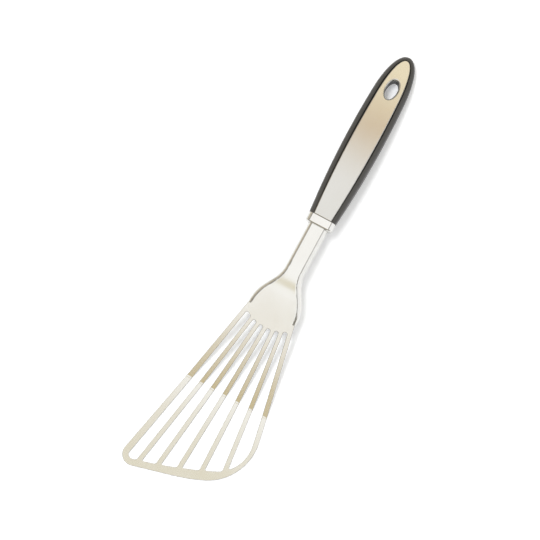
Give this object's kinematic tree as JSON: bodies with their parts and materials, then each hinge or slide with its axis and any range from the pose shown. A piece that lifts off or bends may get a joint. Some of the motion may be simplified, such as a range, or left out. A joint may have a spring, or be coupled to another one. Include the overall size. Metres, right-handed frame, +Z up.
{
  "type": "fish spatula",
  "caption": "Slotted turner with a slanted, upswept stainless blade on a channelled shank, and an inlaid grip with an oval hang hole",
  "frame": {"origin": "on the table under the middle of the front bar, below the centre line of the handle, with the tool lying face up", "axes": "+Y along the tool to the hanging end of the handle, +X to its right seen from above, +Z up from the table"},
  "size_m": [0.0797, 0.3309, 0.0213],
  "materials": {
    "blade_steel": "satin with a fine grain and polished edges",
    "ferrule_steel": "satin",
    "core_plastic": "moulded, hidden",
    "grip_rubber": "smooth matte thermoplastic rubber",
    "cover_steel": "satin"
  },
  "bodies": {
    "root": {"stamped_blade": "blade_steel", "ferrule": "ferrule_steel", "handle_core": "core_plastic", "grip_band": "grip_rubber", "front_cover": "cover_steel", "rear_cover": "cover_steel", "hang_hole_liner": "grip_rubber"}
  },
  "joints": []
}
